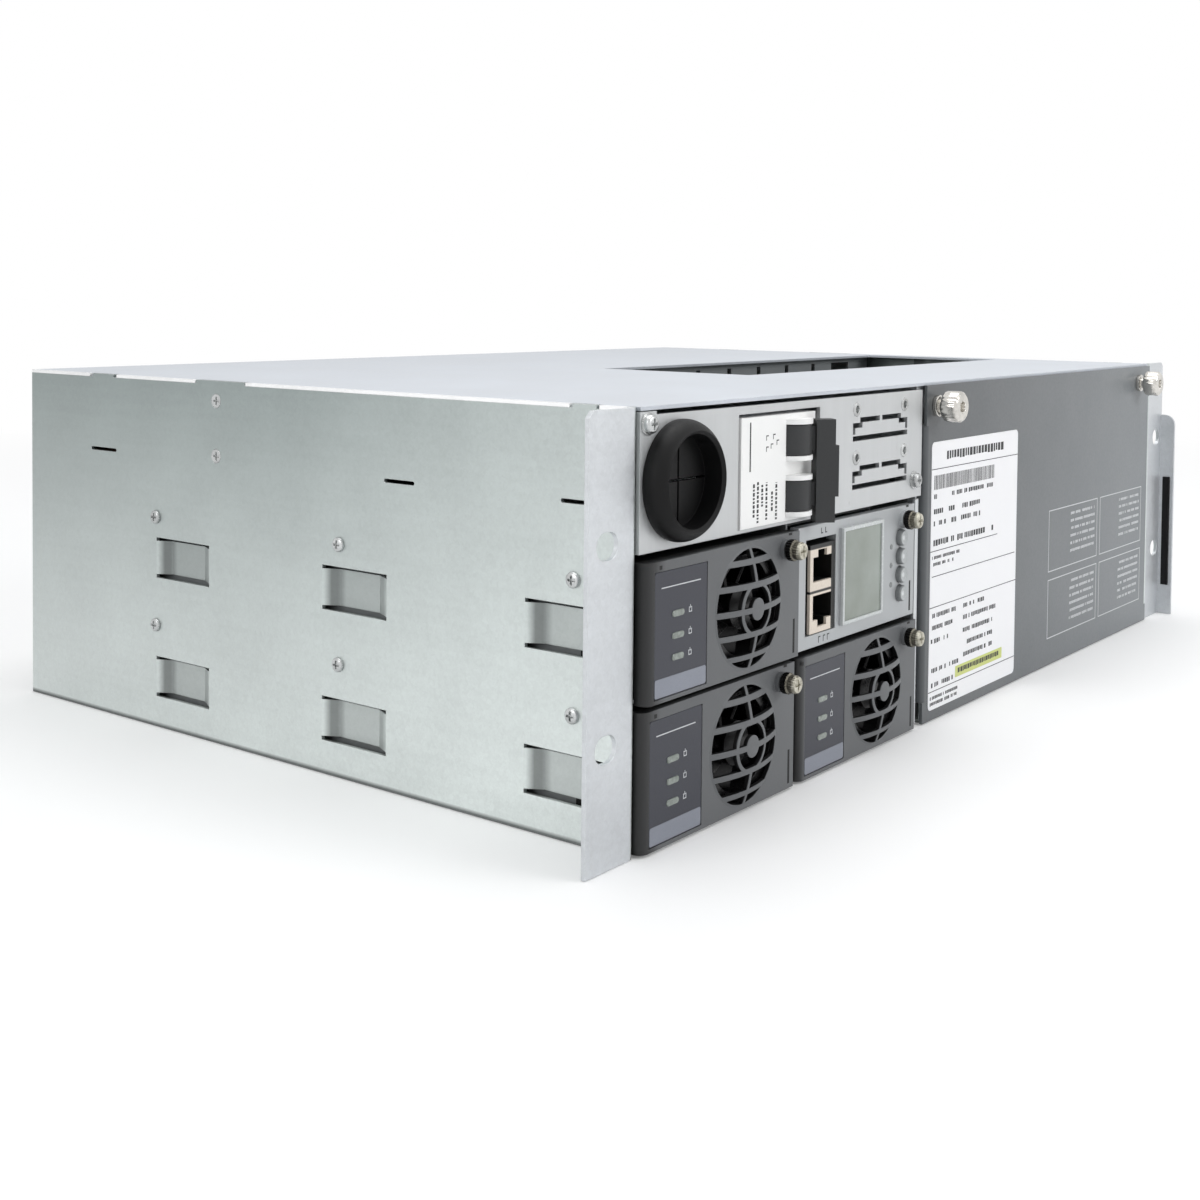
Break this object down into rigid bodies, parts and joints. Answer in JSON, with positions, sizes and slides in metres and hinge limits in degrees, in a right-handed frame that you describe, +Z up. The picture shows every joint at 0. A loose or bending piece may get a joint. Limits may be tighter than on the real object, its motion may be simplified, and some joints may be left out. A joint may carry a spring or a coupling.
{
  "type": "rack power shelf",
  "caption": "Rack-mounted power shelf with plug-in rectifiers, a controller, a supply breaker and a covered cabling bay under a slotted opening.",
  "frame": {"origin": "centre of the bottom face, halfway between the side panels and halfway from the front plane of the rack ears to the rear panel", "axes": "+X to the right seen from the front, +Y to the rear, +Z up; the front faces -Y"},
  "size_m": [0.4826, 0.3121, 0.13],
  "materials": {
    "panel_galvanised": "galvanised sheet with a fine spangle",
    "cover_sheet": "pale galvanised sheet",
    "inner_sheet": "plain galvanised sheet",
    "ac_plate": "fine brushed plate",
    "painted_cover": "grey textured paint",
    "bezel_plastic": "grey moulded plastic",
    "breaker_plastic": "white moulded plastic",
    "lever_plastic": "dark grey moulded plastic",
    "black_rubber": "black rubber",
    "button_rubber": "grey silicone",
    "bright_screw": "bright plated steel",
    "plated_screw": "plated steel",
    "board_green": "green circuit board",
    "jack_cream": "cream moulded plastic",
    "display_glass": "pale display window",
    "terminal_grey": "grey moulded terminals",
    "copper_bar": "bare copper bar",
    "fan_black": "black fan plastic"
  },
  "bodies": {
    "chassis": {"ac_panel": "ac_plate", "ac_panel_screws": "plated_screw", "ac_rear_wall": "inner_sheet", "ac_terminals": "terminal_grey", "backplane": "board_green", "backplane_sockets": "fan_black", "bay_divider": "inner_sheet", "breaker_body": "breaker_plastic", "breaker_rail": "inner_sheet", "busbars": "copper_bar", "cable_grommet": "black_rubber", "column_divider": "inner_sheet", "comb_wall": "inner_sheet", "ear_strip": "black_rubber", "floor_tray": "panel_galvanised", "flush_screws": "plated_screw", "front_cover": "painted_cover", "load_terminals": "terminal_grey", "lower_shelf": "inner_sheet", "panel_studs": "plated_screw", "rear_panel": "panel_galvanised", "side_panel_left": "panel_galvanised", "side_panel_right": "panel_galvanised", "side_screws": "plated_screw", "terminal_rail": "inner_sheet", "top_cover": "cover_sheet", "upper_shelf": "inner_sheet"},
    "rectifier_upper": {"rectifier_upper_bezel": "bezel_plastic", "rectifier_upper_casing": "inner_sheet", "rectifier_upper_board": "board_green", "rectifier_upper_fan_frame": "fan_black"},
    "rectifier_upper_fan": {"rectifier_upper_fan_rotor": "fan_black"},
    "rectifier_upper_captive_screw": {"rectifier_upper_screw": "plated_screw"},
    "rectifier_lower": {"rectifier_lower_bezel": "bezel_plastic", "rectifier_lower_casing": "inner_sheet", "rectifier_lower_board": "board_green", "rectifier_lower_fan_frame": "fan_black"},
    "rectifier_lower_fan": {"rectifier_lower_fan_rotor": "fan_black"},
    "rectifier_lower_captive_screw": {"rectifier_lower_screw": "plated_screw"},
    "rectifier_right": {"rectifier_right_bezel": "bezel_plastic", "rectifier_right_casing": "inner_sheet", "rectifier_right_board": "board_green", "rectifier_right_fan_frame": "fan_black"},
    "rectifier_right_fan": {"rectifier_right_fan_rotor": "fan_black"},
    "rectifier_right_captive_screw": {"rectifier_right_screw": "plated_screw"},
    "controller": {"controller_face": "bezel_plastic", "controller_casing": "inner_sheet", "controller_board": "board_green", "controller_display": "display_glass", "network_jacks": "jack_cream"},
    "controller_captive_screw": {"controller_screw": "plated_screw"},
    "push_button_1": {"button_1": "button_rubber"},
    "push_button_2": {"button_2": "button_rubber"},
    "push_button_3": {"button_3": "button_rubber"},
    "push_button_4": {"button_4": "button_rubber"},
    "breaker_handle": {"breaker_lever": "lever_plastic"},
    "left_thumbscrew": {"thumbscrew_left": "bright_screw"},
    "right_thumbscrew": {"thumbscrew_right": "bright_screw"}
  },
  "joints": [
    {"name": "rectifier_upper_slide", "type": "slide", "parent": "chassis", "child": "rectifier_upper", "axis": [0, -1, 0], "range_m": [-0.0013, 0.24]},
    {"name": "rectifier_upper_screw_turn", "type": "hinge", "parent": "rectifier_upper", "child": "rectifier_upper_captive_screw", "pos_m": [-0.1426, -0.1535, 0.08043], "axis": [0, -1, 0], "range_deg": [0, 1440]},
    {"name": "rectifier_lower_slide", "type": "slide", "parent": "chassis", "child": "rectifier_lower", "axis": [0, -1, 0], "range_m": [0, 0.24]},
    {"name": "rectifier_lower_screw_turn", "type": "hinge", "parent": "rectifier_lower", "child": "rectifier_lower_captive_screw", "pos_m": [-0.1426, -0.1522, 0.0371], "axis": [0, -1, 0], "range_deg": [0, 1440]},
    {"name": "rectifier_right_slide", "type": "slide", "parent": "chassis", "child": "rectifier_right", "axis": [0, -1, 0], "range_m": [0, 0.24]},
    {"name": "rectifier_right_screw_turn", "type": "hinge", "parent": "rectifier_right", "child": "rectifier_right_captive_screw", "pos_m": [-0.0541, -0.1522, 0.0371], "axis": [0, -1, 0], "range_deg": [0, 1440]},
    {"name": "controller_slide", "type": "slide", "parent": "chassis", "child": "controller", "axis": [0, -1, 0], "range_m": [0, 0.24]},
    {"name": "controller_screw_turn", "type": "hinge", "parent": "controller", "child": "controller_captive_screw", "pos_m": [-0.0541, -0.151, 0.08043], "axis": [0, -1, 0], "range_deg": [0, 1440]},
    {"name": "rectifier_upper_fan_spin", "type": "hinge", "parent": "rectifier_upper", "child": "rectifier_upper_fan", "pos_m": [-0.1638, -0.1485, 0.06468], "axis": [0, -1, 0], "continuous": true},
    {"name": "rectifier_lower_fan_spin", "type": "hinge", "parent": "rectifier_lower", "child": "rectifier_lower_fan", "pos_m": [-0.1638, -0.1472, 0.02135], "axis": [0, -1, 0], "continuous": true},
    {"name": "rectifier_right_fan_spin", "type": "hinge", "parent": "rectifier_right", "child": "rectifier_right_fan", "pos_m": [-0.0753, -0.1472, 0.02135], "axis": [0, -1, 0], "continuous": true},
    {"name": "button_1_press", "type": "slide", "parent": "controller", "child": "push_button_1", "axis": [0, 1, 0], "range_m": [0, 0.001], "stiffness_N_per_m": 400, "springref_m": -0.001},
    {"name": "button_2_press", "type": "slide", "parent": "controller", "child": "push_button_2", "axis": [0, 1, 0], "range_m": [0, 0.001], "stiffness_N_per_m": 400, "springref_m": -0.001},
    {"name": "button_3_press", "type": "slide", "parent": "controller", "child": "push_button_3", "axis": [0, 1, 0], "range_m": [0, 0.001], "stiffness_N_per_m": 400, "springref_m": -0.001},
    {"name": "button_4_press", "type": "slide", "parent": "controller", "child": "push_button_4", "axis": [0, 1, 0], "range_m": [0, 0.001], "stiffness_N_per_m": 400, "springref_m": -0.001},
    {"name": "breaker_swing", "type": "hinge", "parent": "chassis", "child": "breaker_handle", "pos_m": [-0.131, -0.148, 0.1045], "axis": [0, 0, -1], "range_deg": [0, 90]},
    {"name": "left_thumbscrew_turn", "type": "hinge", "parent": "chassis", "child": "left_thumbscrew", "pos_m": [-0.028, -0.155, 0.121], "axis": [0, -1, 0], "range_deg": [0, 2160]},
    {"name": "right_thumbscrew_turn", "type": "hinge", "parent": "chassis", "child": "right_thumbscrew", "pos_m": [0.2, -0.155, 0.121], "axis": [0, -1, 0], "range_deg": [0, 2160]}
  ]
}
